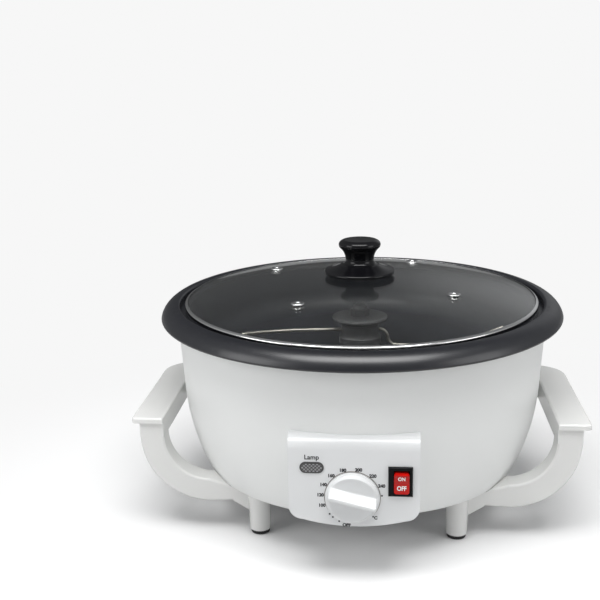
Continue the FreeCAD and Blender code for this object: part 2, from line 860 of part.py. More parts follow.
def element_clips():
    """Spring straps that hold the ring against the pan."""
    clips = []
    for k in range(3):
        z = element_z()
        tube_r = element_tube_r + 0.3
        strap = pin_y(tube_r + 0.9, -5, 5, element_ring_r, z).cut(pin_y(tube_r, -6, 6, element_ring_r, z))
        strap = strap.cut(box(0, 2 * element_ring_r, -6, 6, z, z + 4 * tube_r))
        top = pan_floor_z - pan_floor_t
        for side in (-1, 1):
            x = element_ring_r + side * (tube_r + 0.45)
            strap = strap.fuse(box(x - 0.45, x + 0.45, -5, 5, z, top))
            foot = sorted((x, x + side * 8))
            strap = strap.fuse(box(foot[0], foot[1], -5, 5, top - 0.9, top))
        strap.rotate(V(0, 0, 0), UP, 30 + 120 * k)
        clips.append(strap.removeSplitter())
    return Part.makeCompound(clips)


def heat_reflector():
    """Aluminised dish under the element that keeps the heat off the shell."""
    z = reflector_z
    t = reflector_t
    r = reflector_r
    dish = revolve([
        (shaft_r + 6, z), (r - 14, z), ((r - 5, z + 2.5), (r, z + 11)), (r + 3, z + 11),
        (r + 3, z + 11 + t), (r - t, z + 11 + t), ((r - 5 - t, z + 3 + t), (r - 14, z + t)),
        (shaft_r + 6, z + t)])
    for x, y in stud_places():
        dish = dish.cut(drill(stud_r + 0.1, x, y))
    for side in (-1, 1):
        x, y = cold_end(side)
        dish = dish.cut(drill(element_tube_r + 2, x, y))
    return dish


def thermal_fuse():
    """Cut-out clamped to the pan's floor in series with the element."""
    z = pan_floor_z - pan_floor_t - fuse_r
    body = Part.makeCylinder(fuse_r, fuse_l, V(stud_circle_r / 2, -stud_circle_r, z), V(1, 0, 0))
    lead = Part.makeCylinder(0.6, fuse_l + 16, V(stud_circle_r / 2 - 8, -stud_circle_r, z), V(1, 0, 0))
    return body.fuse(lead)


# ---- thermostat and dial ------------------------------------------------------------
def panel_back_y():
    return panel_face_y + panel_wall


def thermostat_body():
    """Capillary thermostat: drum, threaded neck and two blade terminals."""
    back = panel_back_y() + thermo_body_l
    drum = pin_y(thermo_body_r, panel_back_y(), back, dial_x, dial_z)
    neck = pin_y(thermo_shaft_r + 2, panel_face_y - 2.2, panel_back_y(), dial_x, dial_z)
    body = drum.fuse(neck)
    bore = pin_y(thermo_shaft_r + running_gap, panel_face_y - 5, back - 4, dial_x, dial_z)
    body = body.cut(bore)
    for side in (-1, 1):
        x = dial_x + side * thermo_body_r * 0.5
        body = body.fuse(box(x - 3, x + 3, back - 0.01, back + 8, dial_z - 8.4, dial_z - 7.6))
    return body.removeSplitter()


def thermostat_nut():
    y = panel_face_y - 2.0
    points = [polar(dial_pocket_r() / 1.25, 60 * k) for k in range(6)]
    nut = extrude_xz([(dial_x + px, dial_z + pz) for px, pz in points], y, panel_face_y)
    return nut.cut(pin_y(thermo_shaft_r + 2, y - 1, panel_face_y + 1, dial_x, dial_z))


def thermostat_shaft():
    low = panel_back_y() + thermo_body_l - 4.5
    top = panel_face_y - dial_gap - dial_skirt_t - dial_body_h * 0.6
    return pin_y(thermo_shaft_r, top, low, dial_x, dial_z)


def thermostat_probe():
    """Capillary that climbs behind the reflector's rim to the bulb under the pan."""
    start = panel_back_y() + thermo_body_l
    under = pan_floor_z - pan_floor_t
    bulb_y = -(element_ring_r + element_tube_r + bulb_r + 2.5)
    rim_gap = under - capillary_r - 1.6
    riser_y = -(reflector_r + 3 + capillary_r + 4)
    line = wire_path([(dial_x, start, dial_z + 4), (dial_x, start + 7, dial_z + 4),
                      (dial_x, riser_y, dial_z + 24), (dial_x, riser_y, rim_gap),
                      (dial_x, riser_y + 18, rim_gap), (dial_x + 12, bulb_y, under - bulb_r)],
                     capillary_r)
    bulb = Part.makeCylinder(bulb_r, bulb_l, V(dial_x + 11, bulb_y, under - bulb_r), V(1, 0, 0))
    return line.fuse(bulb)


def dial_pocket_r():
    return thermo_shaft_r + 6.5


def thermostat_knob():
    """Dial knob: a skirt, a domed body and a raised grip between two scoops."""
    top = dial_skirt_t + dial_body_h
    floor = dial_skirt_t + 4.0
    scoop_r = 3.0
    knob = revolve([
        (0, 0), (dial_r - 0.6, 0), (dial_r, 0.6), (dial_r, dial_skirt_t - 0.6),
        ((dial_r - 0.2, dial_skirt_t - 0.1), (dial_r - 0.8, dial_skirt_t)),
        (dial_r - 1.6, dial_skirt_t + 0.2), (dial_r - 2.6, top - 3.0),
        ((dial_r - 3.2, top - 1.2), (dial_r - 5.2, top - 0.2)), (dial_r - 10, top), (0, top)])
    for side in (-1, 1):
        axis_y_off = side * (dial_grip_w / 2 + scoop_r)
        scoop = Part.makeCylinder(scoop_r, 4 * dial_r, V(-2 * dial_r, axis_y_off, floor + scoop_r),
                                  V(1, 0, 0))
        far = sorted((axis_y_off, side * 3 * dial_r))
        block = box(-2 * dial_r, 2 * dial_r, far[0], far[1], floor, top + 5)
        upper = sorted((side * dial_grip_w / 2, side * 3 * dial_r))
        above = box(-2 * dial_r, 2 * dial_r, upper[0], upper[1], floor + scoop_r, top + 30)
        knob = knob.cut(scoop).cut(block).cut(above)
    knob = knob.cut(cyl(dial_pocket_r(), -1, 2.8))
    knob = knob.cut(cyl(thermo_shaft_r, -1, dial_skirt_t + dial_body_h * 0.6))
    knob.rotate(V(0, 0, 0), UP, dial_rest_deg)
    knob.rotate(V(0, 0, 0), V(1, 0, 0), 90)
    knob.translate(V(dial_x, panel_face_y - dial_gap, dial_z))
    return knob


# ---- control panel, switch and lamp -------------------------------------------------
def panel_outline(inset):
    half = panel_w / 2 - inset
    c = panel_corner_r - inset * 0.6
    low = panel_bottom_z + inset
    side = low + panel_sag
    d = c * (1 - math.sqrt(0.5))
    return [(-half, panel_top_z - inset), (-half, side + c), ((-half + d, side + d), (-half + c, side)),
            ((0, low), (half - c, side)), ((half - d, side + d), (half, side + c)),
            (half, panel_top_z - inset)]


def panel_form(inset, roll):
    """The panel's front form with its top edge rolled back to the shell."""
    form = extrude_xz(panel_outline(inset), panel_face_y + inset, -shell_belly_r / 2)
    top = panel_top_z - inset
    front = panel_face_y + inset
    roll_edges = [e for e in form.Edges
                  if all(abs(v.Y - front) < 0.01 and abs(v.Z - top) < 0.01 for v in e.Vertexes)]
    return form.makeFillet(roll, roll_edges)


def control_panel():
    panel = panel_form(0.0, panel_roll_r).cut(panel_form(panel_wall, panel_roll_r - panel_wall))
    for x, z in panel_screw_places():
        panel = panel.fuse(pin_y(3.4, panel_face_y + 1.5, -shell_belly_r / 2, x, z)
                           .common(panel_form(0.5, panel_roll_r)))
    panel = panel.cut(shell_body())
    for x, z in panel_screw_places():
        panel = panel.cut(pin_y(screw_r, panel_face_y + 3, -shell_belly_r / 2, x, z))
    panel = panel.cut(pin_y(thermo_shaft_r + 2 + seat_gap, panel_face_y - 9, -100, dial_x, dial_z))
    body_w = switch_w / 2 - 2 + seat_gap
    body_h = switch_h / 2 - 2 + seat_gap
    panel = panel.cut(box(switch_x - body_w, switch_x + body_w, panel_face_y - 9, -100,
                          switch_z - body_h, switch_z + body_h))
    return panel.cut(obround(lamp_x, lamp_z, lamp_w + seat_gap, lamp_h + seat_gap,
                             panel_face_y - 9, -100)).removeSplitter()


def panel_screw_places():
    return [(-12.0, panel_top_z - 8.5), (12.0, panel_top_z - 8.5),
            (-30.0, panel_bottom_z + 7.2), (30.0, panel_bottom_z + 7.2)]


def panel_screws():
    """Screws driven from inside the shell into the panel's bosses."""
    screws = []
    for x, z in panel_screw_places():
        r = shell_radius(z - screw_head_r, shell_wall) - 0.05
        inner = -math.sqrt(r ** 2 - (abs(x) + screw_head_r) ** 2)
        head = pin_y(screw_head_r, inner, inner + screw_head_h, x, z)
        screws.append(head.fuse(pin_y(screw_r, inner - 8, inner + 0.1, x, z)).removeSplitter())
    return Part.makeCompound(screws)


def obround(x, z, width, height, y0, y1):
    r = height / 2
    half = width / 2 - r
    path = [(x - half, z - r), (x + half, z - r), ((x + half + r, z), (x + half, z + r)),
            (x - half, z + r), ((x - half - r, z), (x - half, z - r))]
    edges = segs(path, lambda p: V(p[0], y0, p[1]))
    return Part.Face(Part.Wire(edges)).extrude(V(0, y1 - y0, 0))


def lamp_lens():
    """Ribbed obround lens pressed into the panel."""
    front = panel_face_y - 1.0
    lens = obround(lamp_x, lamp_z, lamp_w + 2, lamp_h + 2, front + 0.4, panel_face_y)
    lens = lens.fuse(obround(lamp_x, lamp_z, lamp_w, lamp_h, front, panel_back_y() + 2))
    for k in range(-4, 5):
        x = lamp_x + k * lamp_w / 11
        lens = lens.cut(box(x - 0.35, x + 0.35, front - 1, front + 0.35,
                            lamp_z - lamp_h / 2 + 1.2, lamp_z + lamp_h / 2 - 1.2))
    pocket = pin_y(2.2, panel_face_y + 0.5, panel_back_y() + 5, lamp_x, lamp_z)
    return lens.cut(pocket).removeSplitter()


def neon_lamp():
    y = panel_face_y + 0.8
    return pin_y(2.0, y, y + 14, lamp_x, lamp_z)


def rocker_pivot():
    return panel_face_y + 2.5, switch_z


def rocker_room():
    """Half-height of the opening that the rocker's corners sweep through."""
    tilt = math.radians(rocker_tilt_deg)
    return rocker_h / 2 * math.cos(tilt) + rocker_proud * math.sin(tilt) + rocker_gap


def switch_body():
    """Snap-in switch housing with its bezel, pivot pin and blade terminals."""
    half_w = switch_w / 2
    half_h = switch_h / 2
    front = panel_face_y - switch_bezel_t
    back = panel_face_y + 17.0
    bezel = box(switch_x - half_w, switch_x + half_w, front, panel_face_y,
                switch_z - half_h, switch_z + half_h)
    bezel = bezel.makeFillet(1.2, [e for e in bezel.Edges if all(v.Y < front + 0.01 for v in e.Vertexes)])
    body = bezel.fuse(box(switch_x - half_w + 2, switch_x + half_w - 2, panel_face_y - 0.01, back,
                          switch_z - half_h + 2, switch_z + half_h - 2))
    room_w = rocker_w / 2 + rocker_gap
    pivot_y, pivot_z = rocker_pivot()
    mid_x = switch_x + rocker_shift
    body = body.cut(box(mid_x - room_w, mid_x + room_w, front - 5, pivot_y + 5,
                        switch_z - rocker_room(), switch_z + rocker_room()))
    pin = Part.makeCylinder(1.2, 2 * room_w + 0.2, V(mid_x - room_w - 0.1, pivot_y, pivot_z), V(1, 0, 0))
    body = body.fuse(pin)
    for side in (-1, 1):
        z = switch_z + side * 5
        body = body.fuse(box(switch_x - 2.4, switch_x + 2.4, back - 0.01, back + 8, z - 0.4, z + 0.4))
    return body.removeSplitter()


def along_y(edge):
    """True for an edge that runs front to back."""
    a, b = edge.Vertexes[0].Point, edge.Vertexes[-1].Point
    return abs(a.x - b.x) < 0.01 and abs(a.z - b.z) < 0.01 and abs(a.y - b.y) > 1.0


def switch_rocker():
    """Rocker at OFF: its lower half is pressed in and its upper half stands proud."""
    half = rocker_h / 2
    pivot_y, pivot_z = rocker_pivot()
    path = [(-rocker_proud, half), (-rocker_proud + 1.6, 0), (-rocker_proud, -half),
            (1.0, -half), (2.4, 0), (1.0, half)]
    x0 = switch_x + rocker_shift - rocker_w / 2
    edges = segs(path + [path[0]], lambda p: V(x0, pivot_y + p[0], pivot_z + p[1]))
    rocker = Part.Face(Part.Wire(edges)).extrude(V(rocker_w, 0, 0))
    rocker = rocker.makeFillet(rocker_corner_r, [e for e in rocker.Edges if along_y(e)])
    bore = Part.makeCylinder(1.2 + running_gap, 3 * rocker_w, V(x0 - rocker_w, pivot_y, pivot_z),
                             V(1, 0, 0))
    rocker = rocker.cut(bore)
    rocker.rotate(V(switch_x, pivot_y, pivot_z), V(1, 0, 0), rocker_tilt_deg)
    return rocker


# ---- handles and feet ---------------------------------------------------------------
def leg_front_y():
    return -foot_y() - 1.0


def leg_joint_x():
    return foot_x() + arm_length


def grip_front_y():
    return leg_front_y() - 2.0


def grip_rear_y():
    return grip_front_y() + grip_length


def grip_inner_x():
    return leg_outer_x - leg_width


def grip_plan(outer_x, front_y, margin, corner):
    """Plan of the grip: straight outside, rounded at the rear, turned in to the shell."""
    inner = grip_inner_x()
    rear = grip_rear_y() - margin
    d = corner * (1 - math.sqrt(0.5))
    shell_side_x = shell_belly_r * 0.75
    nose = grip_nose_r if margin == 0 else 0.5
    n = nose * (1 - math.sqrt(0.5))
    return [(inner, front_y), (outer_x - nose, front_y),
            ((outer_x - n, front_y + n), (outer_x, front_y + nose)), (outer_x, rear - corner),
            ((outer_x - d, rear - d), (outer_x - corner, rear)), (shell_side_x, rear),
            (shell_side_x, grip_rear_y() - grip_root), (inner, grip_rear_y() - grip_root - 6)]


def handle_leg():
    """Leg that drops from the grip's front end and sweeps in under the shell."""
    cx = leg_outer_x - leg_bend_r
    cz = leg_bottom_z + leg_bend_r
    r_in = leg_bend_r - leg_width
    top = grip_top_z - grip_plate_t
    path = [(leg_outer_x, top), (leg_outer_x, cz),
            (on_arc(cx, cz, leg_bend_r, -45), (cx, leg_bottom_z)),
            (leg_joint_x(), leg_bottom_z + 1), (leg_joint_x(), leg_bottom_z + 1 + leg_end_h),
            (cx, cz - r_in), (on_arc(cx, cz, r_in, -45), (cx + r_in, cz)), (cx + r_in, top)]
    leg = extrude_xz(path, leg_front_y(), leg_front_y() + leg_depth)
    long_edges = []
    for e in leg.Edges:
        flat = all(abs(v.Y - leg_front_y()) < 0.01 for v in e.Vertexes)
        at_end = all(abs(v.X - leg_joint_x()) < 0.01 for v in e.Vertexes)
        at_top = all(abs(v.Z - top) < 0.01 for v in e.Vertexes)
        if flat and not at_end and not at_top:
            long_edges.append(e)
    return leg.makeFillet(leg_edge_r, long_edges)


def handle_right():
    plate_low = grip_top_z - grip_plate_t
    plate = extrude_xy(grip_plan(grip_outer_x, grip_front_y(), 0, grip_corner_r), plate_low, grip_top_z)
    rim_edges = [e for e in plate.Edges
                 if all(abs(v.Z - grip_top_z) < 0.01 and v.X > grip_inner_x() - 1 for v in e.Vertexes)]
    plate = plate.makeFillet(1.6, rim_edges)
    overhang = grip_outer_x - leg_outer_x
    bar = extrude_xy(grip_plan(leg_outer_x, leg_front_y(), overhang, grip_corner_r - overhang),
                     grip_top_z - grip_depth, plate_low)
    pocket_y = leg_front_y() + leg_depth + grip_wall
    bay = (grip_rear_y() - grip_root - 6 - pocket_y - grip_wall) / 3
    for k in range(3):
        y = pocket_y + k * (bay + grip_wall / 2)
        bar = bar.cut(box(grip_inner_x() + grip_wall, leg_outer_x - grip_wall, y, y + bay,
                          grip_top_z - grip_depth - 1, plate_low))
    handle = fuse([plate, bar, handle_leg()]).cut(shell_body(seat_gap))
    handle = handle.fuse(leg_tongue(0.0))
    for solid in handle_screw_holes():
        handle = handle.cut(solid)
    x, y, z = tongue_screw_place()
    return handle.cut(cyl(screw_r, z - 1, z + 10, x, y)).removeSplitter()


def leg_tongue(clearance):
    """Tongue on the leg's end that plugs into the foot's arm."""
    mid_y = leg_front_y() + leg_depth / 2
    mid_z = leg_bottom_z + 1 + leg_end_h / 2
    return box(leg_joint_x() - 10 - clearance, leg_joint_x() + 1 - clearance,
               mid_y - 5 - clearance, mid_y + 5 + clearance,
               mid_z - 3 - clearance, mid_z + 3 + clearance)


def tongue_screw_place():
    """Axis of the screw that locks the tongue, and the height of its head's seat."""
    slope = arm_drop / (leg_joint_x() - foot_x() - foot_r + 0.5)
    return leg_joint_x() - 5.5, leg_front_y() + leg_depth / 2, leg_bottom_z + 1 - slope * 5.5


def handle_screw_angles():
    reach = shell_radius(grip_top_z - grip_depth / 2)
    return [math.degrees(math.asin((grip_rear_y() - 16 + k * 8) / reach)) for k in (0, 1)]


def radial_pin(r, start, end, deg, z):
    x, y = polar(1.0, deg)
    return Part.makeCylinder(r, end - start, V(x * start, y * start, z), V(x, y, 0))


def handle_screw_z():
    return grip_top_z - grip_plate_t - 5.0


def handle_screw_holes():
    inner = shell_radius(handle_screw_z(), shell_wall)
    return [radial_pin(screw_r, inner - 5, inner + handle_screw_l + 1, deg, handle_screw_z())
            for deg in handle_screw_angles()]


def handle_screws():
    """Screws from inside the shell into the grips, and up through the arms."""
    inner = shell_radius(handle_screw_z(), shell_wall)
    screws = []
    for deg in handle_screw_angles():
        head = radial_pin(screw_head_r, inner - screw_head_h - 0.6, inner - 0.6, deg, handle_screw_z())
        stem = radial_pin(screw_r, inner - 0.7, inner + handle_screw_l, deg, handle_screw_z())
        screws.append(head.fuse(stem).removeSplitter())
    x, y, z = tongue_screw_place()
    screws.append(cyl(screw_head_r, z, z + screw_head_h, x, y)
                  .fuse(cyl(screw_r, z, z + 9, x, y)).removeSplitter())
    return Part.makeCompound(screws + [mirrored_x(s) for s in screws])


def foot_post(x, y):
    height = shell_bottom_z - pad_height
    return Part.makeCone(foot_r - foot_taper, foot_r, height, V(x, y, pad_height), UP)


def front_foot_right():
    """Front foot with the arm that meets the handle's leg."""
    low = leg_bottom_z + 1
    path = [(foot_x(), shell_bottom_z), (leg_joint_x(), shell_bottom_z), (leg_joint_x(), low),
            (foot_x() + foot_r - 0.5, low - arm_drop), (foot_x(), low - arm_drop)]
    arm = extrude_xz(path, leg_front_y(), leg_front_y() + leg_depth)
    foot = foot_post(foot_x(), -foot_y()).fuse(arm).cut(leg_tongue(seat_gap))
    x, y, z = tongue_screw_place()
    foot = foot.cut(cyl(screw_head_r + seat_gap, z - 9, z + screw_head_h, x, y))
    foot = foot.cut(cyl(screw_r + seat_gap, z - 9, z + 9, x, y))
    return foot.cut(foot_pilot(foot_x(), -foot_y())).cut(shell_body()).removeSplitter()


def foot_pilot(x, y):
    return cyl(screw_r, shell_bottom_z - 14, shell_bottom_z + 9, x, y)


def foot_places():
    return [(sx * foot_x(), sy * foot_y()) for sy in (-1, 1) for sx in (-1, 1)]


def rear_foot():
    return foot_post(foot_x(), foot_y()).cut(foot_pilot(foot_x(), foot_y()))


def foot_screw_holes():
    holes = [cyl(screw_r, shell_bottom_z - 1, shell_bottom_z + 9, x, y) for x, y in foot_places()]
    for hole in handle_screw_holes():
        holes.append(hole)
        holes.append(mirrored_x(hole))
    for x, z in panel_screw_places():
        holes.append(pin_y(screw_r, -shell_belly_r - 5, -shell_belly_r / 2, x, z))
    return holes


def foot_screws():
    seat = shell_bottom_z + shell_wall
    screws = []
    for x, y in foot_places():
        head = cyl(screw_head_r, seat, seat + screw_head_h, x, y)
        screws.append(head.fuse(cyl(screw_r, seat - 14, seat, x, y)).removeSplitter())
    return Part.makeCompound(screws)


def foot_pads():
    """Rubber pads plugged into the feet."""
    r = foot_r - foot_taper - 0.8
    pads = []
    for x, y in foot_places():
        pad = cyl(r, 0, pad_height, x, y)
        pad = pad.makeFillet(1.0, [e for e in pad.Edges if abs(e.CenterOfMass.z) < 0.01])
        pads.append(pad)
    return Part.makeCompound(pads)


# ---- rear inlet and wiring points ---------------------------------------------------
def inlet_face_y():
    return shell_belly_r + inlet_proud


def inlet_opening():
    return box(-inlet_w / 2 + inlet_ear, inlet_w / 2 - inlet_ear, shell_belly_r / 2, shell_belly_r + 9,
               inlet_z - inlet_h / 2 + 2, inlet_z + inlet_h / 2 - 2)


def inlet_frame():
    """Flat moulded seat that stands proud of the round shell behind."""
    half_w = inlet_w / 2 + 4
    half_h = inlet_h / 2 + 4
    frame = box(-half_w, half_w, shell_belly_r * 0.6, inlet_face_y(), inlet_z - half_h, inlet_z + half_h)
    frame = frame.makeFillet(2.0, [e for e in frame.Edges
                                   if all(v.Y > inlet_face_y() - 0.01 for v in e.Vertexes)])
    frame = frame.cut(shell_body())
    return frame.cut(box(-inlet_w / 2 + inlet_ear, inlet_w / 2 - inlet_ear, 0, 2 * shell_belly_r,
                         inlet_z - inlet_h / 2 + 2, inlet_z + inlet_h / 2 - 2))


def inlet_socket():
    """Appliance inlet: flange, recessed mouth with two clipped corners."""
    face = inlet_face_y()
    half_w = inlet_w / 2
    half_h = inlet_h / 2 - 2.5
    flange = box(-half_w, half_w, face, face + 2.5, inlet_z - half_h, inlet_z + half_h)
    body_w = inlet_w / 2 - inlet_ear - seat_gap
    body_h = inlet_h / 2 - 2 - seat_gap
    body = box(-body_w, body_w, face - inlet_depth, face + 0.01, inlet_z - body_h, inlet_z + body_h)
    socket = flange.fuse(body)
    mouth_w = body_w - 2.2
    mouth_h = body_h - 2.2
    clip = 4.0
    mouth = extrude_xz([(-mouth_w, inlet_z - mouth_h), (mouth_w, inlet_z - mouth_h),
                        (mouth_w, inlet_z + mouth_h - clip), (mouth_w - clip, inlet_z + mouth_h),
                        (-mouth_w + clip, inlet_z + mouth_h), (-mouth_w, inlet_z + mouth_h - clip)],
                       face - inlet_depth + 3, face + 9)
    socket = socket.cut(mouth)
    for x in (-half_w + inlet_ear / 2, half_w - inlet_ear / 2):
        socket = socket.cut(pin_y(screw_r, face - 9, face + 9, x, inlet_z))
    return socket.cut(inlet_pins()).removeSplitter()


def inlet_pins():
    face = inlet_face_y()
    pins = []
    for x, dz in ((-7.0, -1.5), (0.0, 2.5), (7.0, -1.5)):
        blade = box(x - pin_t / 2, x + pin_t / 2, face - inlet_depth - 7, face - 3,
                    inlet_z + dz - pin_w / 2, inlet_z + dz + pin_w / 2)
        pins.append(blade)
    return Part.makeCompound(pins)


def inlet_screws():
    seat = inlet_face_y() + 2.5
    screws = []
    for x in (-inlet_w / 2 + inlet_ear / 2, inlet_w / 2 - inlet_ear / 2):
        head = pin_y(screw_head_r, seat, seat + screw_head_h, x, inlet_z)
        outer = [e for e in head.Edges if abs(e.CenterOfMass.y - seat - screw_head_h) < 0.01]
        head = head.makeFillet(screw_head_h * 0.45, outer)
        screws.append(head.fuse(pin_y(screw_r, seat - 2.5, seat, x, inlet_z)).removeSplitter())
    return Part.makeCompound(screws)


def terminal_block():
    """Porcelain block on the base plate where the leads are joined."""
    z = shell_bottom_z + base_plate_t
    x0 = -stud_circle_r - 2
    y0 = stud_circle_r * 0.45
    block = box(x0, x0 + block_w, y0, y0 + block_d, z, z + block_h)
    for k in range(3):
        x = x0 + block_w * (k + 0.5) / 3
        block = block.cut(cyl(3.2, z + block_h * 0.4, z + block_h + 1, x, y0 + block_d / 2))
        block = block.cut(pin_y(1.8, y0 - 1, y0 + block_d + 1, x, z + block_h * 0.4))
    return block


# ---- the assembly -------------------------------------------------------------------
def nodes():
    right = handle_right()
    foot = front_foot_right()
    rear = rear_foot()
    return {
        "outer_shell": outer_shell(), "base_plate": base_plate(), "base_screws": base_screws(),
        "roasting_pan": roasting_pan(), "pan_studs": pan_studs(), "stud_sleeves": stud_sleeves(),
        "stud_nuts": stud_nuts(), "lid_glass": lid_glass(), "lid_band": lid_band(),
        "vent_eyelets": vent_eyelets(), "lid_knob": lid_knob(), "knob_washer": knob_washer(),
        "knob_screw": knob_screw(), "stirrer_hub": stirrer_hub(),
        "stirrer_arm_long": stirrer_arm_long(), "stirrer_arm_short": stirrer_arm_short(),
        "stirrer_cap_nut": cap_nut(), "drive_shaft": drive_shaft(), "shaft_bush": shaft_bush(),
        "shaft_seal": shaft_seal(), "output_gear": output_gear(), "idler_gear": idler_gear(),
        "idler_pin": idler_pin(), "gearbox_cup": gearbox_cup(), "gearbox_cover": gearbox_cover(),
        "motor_case": motor_case(), "motor_coil": motor_coil(), "motor_rotor": rotor(),
        "motor_bracket": motor_bracket(), "heating_element": heating_element(),
        "element_clips": element_clips(), "heat_reflector": heat_reflector(),
        "thermal_fuse": thermal_fuse(), "thermostat_body": thermostat_body(),
        "thermostat_nut": thermostat_nut(), "thermostat_shaft": thermostat_shaft(),
        "thermostat_probe": thermostat_probe(), "thermostat_knob": thermostat_knob(),
        "control_panel": control_panel(), "panel_screws": panel_screws(),
        "switch_body": switch_body(), "switch_rocker": switch_rocker(),
        "lamp_lens": lamp_lens(), "neon_lamp": neon_lamp(), "handle_right": right,
        "handle_left": mirrored_x(right), "handle_screws": handle_screws(),
        "front_foot_right": foot, "front_foot_left": mirrored_x(foot),
        "rear_foot_right": rear, "rear_foot_left": mirrored_x(rear),
        "foot_screws": foot_screws(), "foot_pads": foot_pads(), "inlet_frame": inlet_frame(),
        "inlet_socket": inlet_socket(), "inlet_pins": inlet_pins(),
        "inlet_screws": inlet_screws(), "terminal_block": terminal_block(),
    }


def pan_axis_y():
    """Y of the pan's axis once the middle of the whole box is at zero."""
    dial_front = -panel_face_y + dial_gap + dial_skirt_t + dial_body_h
    return (dial_front - rim_r) / 2


def main():
    os.makedirs("parts", exist_ok=True)
    for name, shape in nodes().items():
        placed = shape.copy()
        placed.translate(V(0, pan_axis_y(), 0))
        placed.exportStep("parts/" + name + ".step")


main()
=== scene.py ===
import json
import math

import bmesh
import bpy
from mathutils import Matrix, Vector


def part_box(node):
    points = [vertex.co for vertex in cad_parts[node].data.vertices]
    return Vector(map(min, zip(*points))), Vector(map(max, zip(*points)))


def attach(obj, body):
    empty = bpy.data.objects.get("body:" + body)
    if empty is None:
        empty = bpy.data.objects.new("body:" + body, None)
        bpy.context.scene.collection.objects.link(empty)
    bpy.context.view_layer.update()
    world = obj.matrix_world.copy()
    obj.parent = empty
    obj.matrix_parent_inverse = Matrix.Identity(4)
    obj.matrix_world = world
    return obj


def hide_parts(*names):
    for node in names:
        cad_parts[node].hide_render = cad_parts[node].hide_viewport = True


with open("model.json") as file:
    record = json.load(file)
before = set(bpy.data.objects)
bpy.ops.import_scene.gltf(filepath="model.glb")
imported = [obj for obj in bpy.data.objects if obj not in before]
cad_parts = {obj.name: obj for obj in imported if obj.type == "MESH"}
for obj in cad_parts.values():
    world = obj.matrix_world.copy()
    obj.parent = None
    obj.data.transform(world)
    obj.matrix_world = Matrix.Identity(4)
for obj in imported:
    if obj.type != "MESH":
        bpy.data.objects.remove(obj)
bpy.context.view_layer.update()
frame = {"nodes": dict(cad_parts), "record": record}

# Home coffee bean roaster. The front faces -Y and up is +Z. Lengths are metres, and
# those that read better in millimetres carry MM.
MM = 0.001


def corners(node):
    """Low and high corner of a node's box."""
    low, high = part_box(node)
    return Vector(low), Vector(high)


def middle(node):
    """Centre of a node's box."""
    low, high = corners(node)
    return (low + high) / 2


def joint_place(name):
    """A point on a joint's axis."""
    joints = frame["record"]["behaviour"]["joints"]
    return Vector(next(joint["pos_m"] for joint in joints if joint["name"] == name))


AXIS = middle("roasting_pan")
FACE_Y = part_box("control_panel")[0][1]
DIAL = middle("thermostat_knob")
LAMP = middle("lamp_lens")
BAND_LOW, BAND_HIGH = corners("lid_band")
BAND_R = (BAND_HIGH.x - BAND_LOW.x) / 2


# ---- node building ------------------------------------------------------------------
# Sockets of the colour Mix node, whose names repeat for each kind of data.
MIX_FACTOR, MIX_A, MIX_B, MIX_RESULT = 0, 6, 7, 2
NUMBER_RESULTS = ("DISTANCE", "DOT_PRODUCT", "LENGTH")
BLACK = (0, 0, 0)
WHITE = (1, 1, 1)


class Nodes:
    """A node tree built up node by node."""

    def __init__(self, tree):
        self.tree = tree

    def node(self, kind, **values):
        """New node; a value goes to the socket of its name, or else to the setting."""
        made = self.tree.nodes.new(kind)
        for key, value in values.items():
            if key in made.inputs:
                made.inputs[key].default_value = value
            else:
                setattr(made, key, value)
        return made

    def feed(self, socket, source):
        """Link an output to a socket, or set the socket to a value."""
        if isinstance(source, bpy.types.NodeSocket):
            self.tree.links.new(source, socket)
        else:
            socket.default_value = source

    def feed_all(self, made, *sources):
        """Feed a node's sockets in their order."""
        for socket, source in zip(made.inputs, sources):
            self.feed(socket, source)
        return made

    def maths(self, operation, *terms):
        return self.feed_all(self.node("ShaderNodeMath", operation=operation), *terms).outputs[0]

    def vectors(self, operation, *terms):
        """Vector maths; a length, distance or dot product comes out as a number."""
        made = self.feed_all(self.node("ShaderNodeVectorMath", operation=operation), *terms)
        return made.outputs["Value" if operation in NUMBER_RESULTS else "Vector"]

    def split(self, vector):
        """The X, Y and Z outputs of a vector."""
        return self.feed_all(self.node("ShaderNodeSeparateXYZ"), vector).outputs

    def spread(self, source, low, high, start=0.3, end=0.7, easing="LINEAR"):
        """Go from low to high while the source goes from start to end."""
        made = self.node("ShaderNodeMapRange", interpolation_type=easing)
        ends = {"Value": source, "From Min": start, "From Max": end, "To Min": low, "To Max": high}
        for name, value in ends.items():
            self.feed(made.inputs[name], value)
        return made.outputs["Result"]

    def ray(self, kind):
        return self.node("ShaderNodeLightPath").outputs["Is %s Ray" % kind]

    def either(self, factor, one, two):
        """Mix two shaders: one where the factor is 0, two where it is 1."""
        return self.feed_all(self.node("ShaderNodeMixShader"), factor, one, two).outputs[0]


